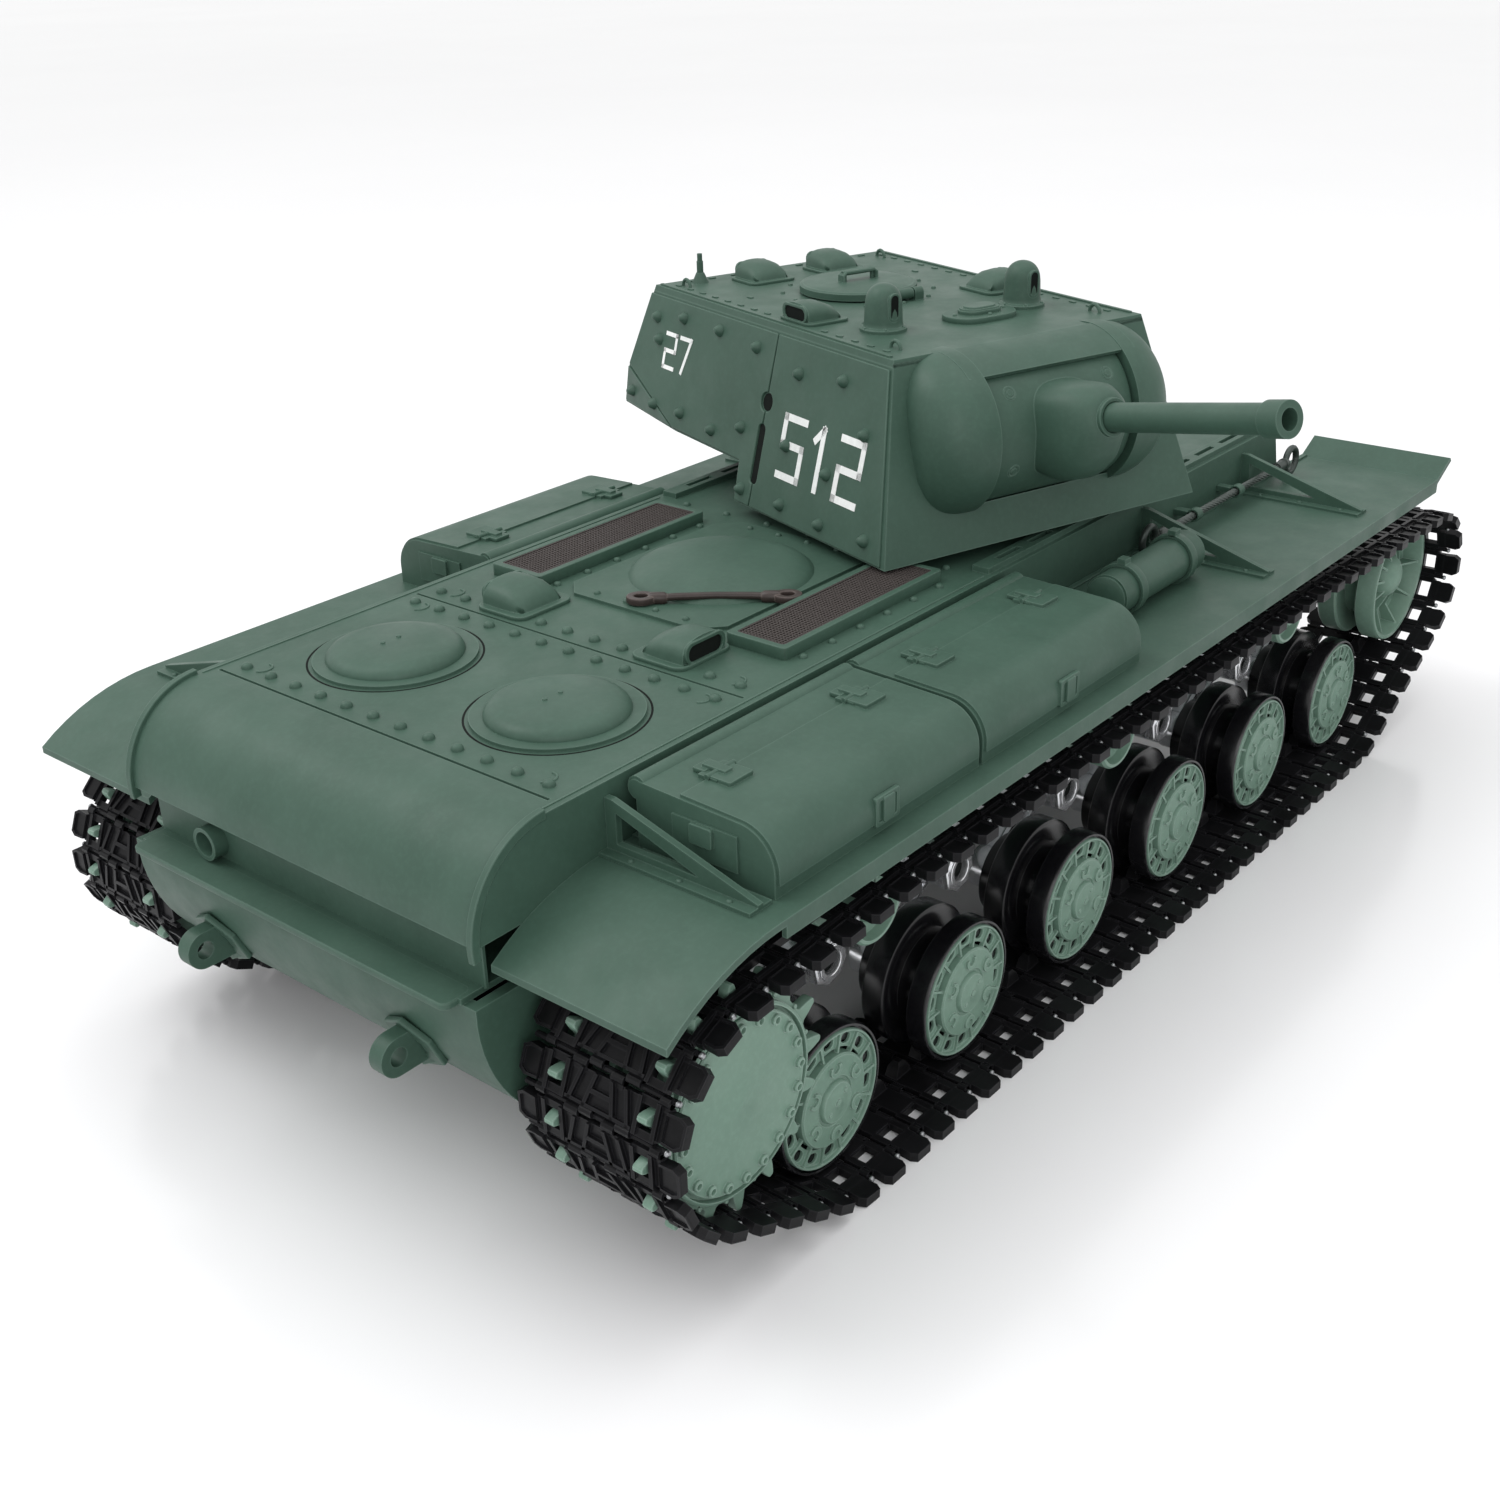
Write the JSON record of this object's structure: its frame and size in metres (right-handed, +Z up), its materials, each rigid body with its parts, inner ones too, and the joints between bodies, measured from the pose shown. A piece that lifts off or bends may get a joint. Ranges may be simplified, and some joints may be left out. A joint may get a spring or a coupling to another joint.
{
  "type": "radio controlled tank",
  "caption": "Tracked model tank with a turning turret, raising gun, opening roof hatch, sprung road wheels, drive sprockets, idlers and a rounded tail over a riveted engine deck.",
  "frame": {"origin": "on the ground under the middle of the hull, where the tracks rest", "axes": "+X towards the front idlers, +Y to the tank's left, +Z up"},
  "size_m": [0.4207, 0.2359, 0.1703],
  "materials": {
    "hull_paint": "matt dark green paint",
    "wheel_paint": "satin light green paint",
    "track_black": "semi-gloss black plastic",
    "arm_metal": "bright cast metal",
    "grille_brown": "matt brown plastic",
    "cable_steel": "dark braided steel",
    "gear_metal": "grey cast metal",
    "battery_blue": "shrink wrap",
    "board_green": "circuit board",
    "white_plastic": "plain moulded plastic"
  },
  "bodies": {
    "hull": {"hull_tub": "hull_paint", "upper_hull": "hull_paint", "engine_hatch": "hull_paint", "deck_covers": "hull_paint", "intake_grilles": "grille_brown", "vent_cowls": "hull_paint", "deck_link": "grille_brown", "tow_eyes": "hull_paint", "fenders": "hull_paint", "fender_brackets": "hull_paint", "stowage_boxes": "hull_paint", "spare_tank": "hull_paint", "tow_cable": "cable_steel", "track_right": "track_black", "track_left": "track_black", "drive_gearboxes": "gear_metal", "battery_pack": "battery_blue", "control_board": "board_green", "turret_drive": "white_plastic"},
    "turret": {"turret_shell": "hull_paint", "turret_roof": "hull_paint", "roof_cowls": "hull_paint", "periscopes": "hull_paint"},
    "hatch": {"commander_hatch": "hull_paint"},
    "gun": {"gun_mask": "hull_paint", "gun_barrel": "hull_paint"},
    "sprocket_right": {"sprocket_right": "wheel_paint"},
    "idler_right": {"idler_right": "wheel_paint"},
    "arm_right_1": {"arm_right_1": "arm_metal"},
    "wheel_right_1": {"wheel_right_1": "wheel_paint"},
    "arm_right_2": {"arm_right_2": "arm_metal"},
    "wheel_right_2": {"wheel_right_2": "wheel_paint"},
    "arm_right_3": {"arm_right_3": "arm_metal"},
    "wheel_right_3": {"wheel_right_3": "wheel_paint"},
    "arm_right_4": {"arm_right_4": "arm_metal"},
    "wheel_right_4": {"wheel_right_4": "wheel_paint"},
    "arm_right_5": {"arm_right_5": "arm_metal"},
    "wheel_right_5": {"wheel_right_5": "wheel_paint"},
    "arm_right_6": {"arm_right_6": "arm_metal"},
    "wheel_right_6": {"wheel_right_6": "wheel_paint"},
    "roller_right_1": {"roller_right_1": "wheel_paint"},
    "roller_right_2": {"roller_right_2": "wheel_paint"},
    "roller_right_3": {"roller_right_3": "wheel_paint"},
    "sprocket_left": {"sprocket_left": "wheel_paint"},
    "idler_left": {"idler_left": "wheel_paint"},
    "arm_left_1": {"arm_left_1": "arm_metal"},
    "wheel_left_1": {"wheel_left_1": "wheel_paint"},
    "arm_left_2": {"arm_left_2": "arm_metal"},
    "wheel_left_2": {"wheel_left_2": "wheel_paint"},
    "arm_left_3": {"arm_left_3": "arm_metal"},
    "wheel_left_3": {"wheel_left_3": "wheel_paint"},
    "arm_left_4": {"arm_left_4": "arm_metal"},
    "wheel_left_4": {"wheel_left_4": "wheel_paint"},
    "arm_left_5": {"arm_left_5": "arm_metal"},
    "wheel_left_5": {"wheel_left_5": "wheel_paint"},
    "arm_left_6": {"arm_left_6": "arm_metal"},
    "wheel_left_6": {"wheel_left_6": "wheel_paint"},
    "roller_left_1": {"roller_left_1": "wheel_paint"},
    "roller_left_2": {"roller_left_2": "wheel_paint"},
    "roller_left_3": {"roller_left_3": "wheel_paint"}
  },
  "joints": [
    {"name": "turret_yaw", "type": "hinge", "parent": "hull", "child": "turret", "pos_m": [0.0254, 0, 0.1042], "axis": [0, 0, 1], "continuous": true},
    {"name": "gun_elevation", "type": "hinge", "parent": "turret", "child": "gun", "pos_m": [0.01149, -0.0428, 0.136], "axis": [-0.9511, 0.309, 0], "range_deg": [-16, 10]},
    {"name": "hatch_hinge", "type": "hinge", "parent": "turret", "child": "hatch", "pos_m": [0.028, 0.00799, 0.1595], "axis": [0.9511, -0.309, 0], "range_deg": [0, 105]},
    {"name": "drive_right", "type": "hinge", "parent": "hull", "child": "sprocket_right", "pos_m": [-0.1726, -0.082, 0.0457], "axis": [0, 1, 0], "continuous": true, "deforming": ["track_right"]},
    {"name": "idler_spin_right", "type": "hinge", "parent": "hull", "child": "idler_right", "pos_m": [0.1828, -0.082, 0.0483], "axis": [0, 1, 0], "continuous": true},
    {"name": "suspension_right_1", "type": "hinge", "parent": "hull", "child": "arm_right_1", "pos_m": [-0.1109, -0.062, 0.038], "axis": [0, 1, 0], "range_deg": [0, 12], "stiffness_Nm_per_rad": 1, "springref_deg": -1.72},
    {"name": "wheel_spin_right_1", "type": "hinge", "parent": "arm_right_1", "child": "wheel_right_1", "pos_m": [-0.1349, -0.08, 0.0212], "axis": [0, 1, 0], "continuous": true},
    {"name": "suspension_right_2", "type": "hinge", "parent": "hull", "child": "arm_right_2", "pos_m": [-0.0564, -0.062, 0.038], "axis": [0, 1, 0], "range_deg": [0, 12], "stiffness_Nm_per_rad": 1, "springref_deg": -1.72},
    {"name": "wheel_spin_right_2", "type": "hinge", "parent": "arm_right_2", "child": "wheel_right_2", "pos_m": [-0.0804, -0.08, 0.0212], "axis": [0, 1, 0], "continuous": true},
    {"name": "suspension_right_3", "type": "hinge", "parent": "hull", "child": "arm_right_3", "pos_m": [-0.0019, -0.062, 0.038], "axis": [0, 1, 0], "range_deg": [0, 12], "stiffness_Nm_per_rad": 1, "springref_deg": -1.72},
    {"name": "wheel_spin_right_3", "type": "hinge", "parent": "arm_right_3", "child": "wheel_right_3", "pos_m": [-0.0259, -0.08, 0.0212], "axis": [0, 1, 0], "continuous": true},
    {"name": "suspension_right_4", "type": "hinge", "parent": "hull", "child": "arm_right_4", "pos_m": [0.0526, -0.062, 0.038], "axis": [0, 1, 0], "range_deg": [0, 12], "stiffness_Nm_per_rad": 1, "springref_deg": -1.72},
    {"name": "wheel_spin_right_4", "type": "hinge", "parent": "arm_right_4", "child": "wheel_right_4", "pos_m": [0.0286, -0.08, 0.0212], "axis": [0, 1, 0], "continuous": true},
    {"name": "suspension_right_5", "type": "hinge", "parent": "hull", "child": "arm_right_5", "pos_m": [0.1071, -0.062, 0.038], "axis": [0, 1, 0], "range_deg": [0, 12], "stiffness_Nm_per_rad": 1, "springref_deg": -1.72},
    {"name": "wheel_spin_right_5", "type": "hinge", "parent": "arm_right_5", "child": "wheel_right_5", "pos_m": [0.0831, -0.08, 0.0212], "axis": [0, 1, 0], "continuous": true},
    {"name": "suspension_right_6", "type": "hinge", "parent": "hull", "child": "arm_right_6", "pos_m": [0.1616, -0.062, 0.038], "axis": [0, 1, 0], "range_deg": [0, 12], "stiffness_Nm_per_rad": 1, "springref_deg": -1.72},
    {"name": "wheel_spin_right_6", "type": "hinge", "parent": "arm_right_6", "child": "wheel_right_6", "pos_m": [0.1376, -0.08, 0.0212], "axis": [0, 1, 0], "continuous": true},
    {"name": "roller_spin_right_1", "type": "hinge", "parent": "hull", "child": "roller_right_1", "pos_m": [-0.118, -0.08, 0.0633], "axis": [0, 1, 0], "continuous": true},
    {"name": "roller_spin_right_2", "type": "hinge", "parent": "hull", "child": "roller_right_2", "pos_m": [-0.01, -0.08, 0.0633], "axis": [0, 1, 0], "continuous": true},
    {"name": "roller_spin_right_3", "type": "hinge", "parent": "hull", "child": "roller_right_3", "pos_m": [0.095, -0.08, 0.0633], "axis": [0, 1, 0], "continuous": true},
    {"name": "drive_left", "type": "hinge", "parent": "hull", "child": "sprocket_left", "pos_m": [-0.1726, 0.082, 0.0457], "axis": [0, 1, 0], "continuous": true, "deforming": ["track_left"]},
    {"name": "idler_spin_left", "type": "hinge", "parent": "hull", "child": "idler_left", "pos_m": [0.1828, 0.082, 0.0483], "axis": [0, 1, 0], "continuous": true},
    {"name": "suspension_left_1", "type": "hinge", "parent": "hull", "child": "arm_left_1", "pos_m": [-0.1109, 0.062, 0.038], "axis": [0, 1, 0], "range_deg": [0, 12], "stiffness_Nm_per_rad": 1, "springref_deg": -1.72},
    {"name": "wheel_spin_left_1", "type": "hinge", "parent": "arm_left_1", "child": "wheel_left_1", "pos_m": [-0.1349, 0.08, 0.0212], "axis": [0, 1, 0], "continuous": true},
    {"name": "suspension_left_2", "type": "hinge", "parent": "hull", "child": "arm_left_2", "pos_m": [-0.0564, 0.062, 0.038], "axis": [0, 1, 0], "range_deg": [0, 12], "stiffness_Nm_per_rad": 1, "springref_deg": -1.72},
    {"name": "wheel_spin_left_2", "type": "hinge", "parent": "arm_left_2", "child": "wheel_left_2", "pos_m": [-0.0804, 0.08, 0.0212], "axis": [0, 1, 0], "continuous": true},
    {"name": "suspension_left_3", "type": "hinge", "parent": "hull", "child": "arm_left_3", "pos_m": [-0.0019, 0.062, 0.038], "axis": [0, 1, 0], "range_deg": [0, 12], "stiffness_Nm_per_rad": 1, "springref_deg": -1.72},
    {"name": "wheel_spin_left_3", "type": "hinge", "parent": "arm_left_3", "child": "wheel_left_3", "pos_m": [-0.0259, 0.08, 0.0212], "axis": [0, 1, 0], "continuous": true},
    {"name": "suspension_left_4", "type": "hinge", "parent": "hull", "child": "arm_left_4", "pos_m": [0.0526, 0.062, 0.038], "axis": [0, 1, 0], "range_deg": [0, 12], "stiffness_Nm_per_rad": 1, "springref_deg": -1.72},
    {"name": "wheel_spin_left_4", "type": "hinge", "parent": "arm_left_4", "child": "wheel_left_4", "pos_m": [0.0286, 0.08, 0.0212], "axis": [0, 1, 0], "continuous": true},
    {"name": "suspension_left_5", "type": "hinge", "parent": "hull", "child": "arm_left_5", "pos_m": [0.1071, 0.062, 0.038], "axis": [0, 1, 0], "range_deg": [0, 12], "stiffness_Nm_per_rad": 1, "springref_deg": -1.72},
    {"name": "wheel_spin_left_5", "type": "hinge", "parent": "arm_left_5", "child": "wheel_left_5", "pos_m": [0.0831, 0.08, 0.0212], "axis": [0, 1, 0], "continuous": true},
    {"name": "suspension_left_6", "type": "hinge", "parent": "hull", "child": "arm_left_6", "pos_m": [0.1616, 0.062, 0.038], "axis": [0, 1, 0], "range_deg": [0, 12], "stiffness_Nm_per_rad": 1, "springref_deg": -1.72},
    {"name": "wheel_spin_left_6", "type": "hinge", "parent": "arm_left_6", "child": "wheel_left_6", "pos_m": [0.1376, 0.08, 0.0212], "axis": [0, 1, 0], "continuous": true},
    {"name": "roller_spin_left_1", "type": "hinge", "parent": "hull", "child": "roller_left_1", "pos_m": [-0.118, 0.08, 0.0633], "axis": [0, 1, 0], "continuous": true},
    {"name": "roller_spin_left_2", "type": "hinge", "parent": "hull", "child": "roller_left_2", "pos_m": [-0.01, 0.08, 0.0633], "axis": [0, 1, 0], "continuous": true},
    {"name": "roller_spin_left_3", "type": "hinge", "parent": "hull", "child": "roller_left_3", "pos_m": [0.095, 0.08, 0.0633], "axis": [0, 1, 0], "continuous": true}
  ],
  "couplings": [
    {"joint": "idler_spin_right", "follows": "drive_right", "ratio": 1.1095},
    {"joint": "wheel_spin_right_1", "follows": "drive_right", "ratio": 1.3929},
    {"joint": "wheel_spin_right_2", "follows": "drive_right", "ratio": 1.3929},
    {"joint": "wheel_spin_right_3", "follows": "drive_right", "ratio": 1.3929},
    {"joint": "wheel_spin_right_4", "follows": "drive_right", "ratio": 1.3929},
    {"joint": "wheel_spin_right_5", "follows": "drive_right", "ratio": 1.3929},
    {"joint": "wheel_spin_right_6", "follows": "drive_right", "ratio": 1.3929},
    {"joint": "roller_spin_right_1", "follows": "drive_right", "ratio": 2.7859},
    {"joint": "roller_spin_right_2", "follows": "drive_right", "ratio": 2.7859},
    {"joint": "roller_spin_right_3", "follows": "drive_right", "ratio": 2.7859},
    {"joint": "idler_spin_left", "follows": "drive_left", "ratio": 1.1095},
    {"joint": "wheel_spin_left_1", "follows": "drive_left", "ratio": 1.3929},
    {"joint": "wheel_spin_left_2", "follows": "drive_left", "ratio": 1.3929},
    {"joint": "wheel_spin_left_3", "follows": "drive_left", "ratio": 1.3929},
    {"joint": "wheel_spin_left_4", "follows": "drive_left", "ratio": 1.3929},
    {"joint": "wheel_spin_left_5", "follows": "drive_left", "ratio": 1.3929},
    {"joint": "wheel_spin_left_6", "follows": "drive_left", "ratio": 1.3929},
    {"joint": "roller_spin_left_1", "follows": "drive_left", "ratio": 2.7859},
    {"joint": "roller_spin_left_2", "follows": "drive_left", "ratio": 2.7859},
    {"joint": "roller_spin_left_3", "follows": "drive_left", "ratio": 2.7859}
  ]
}
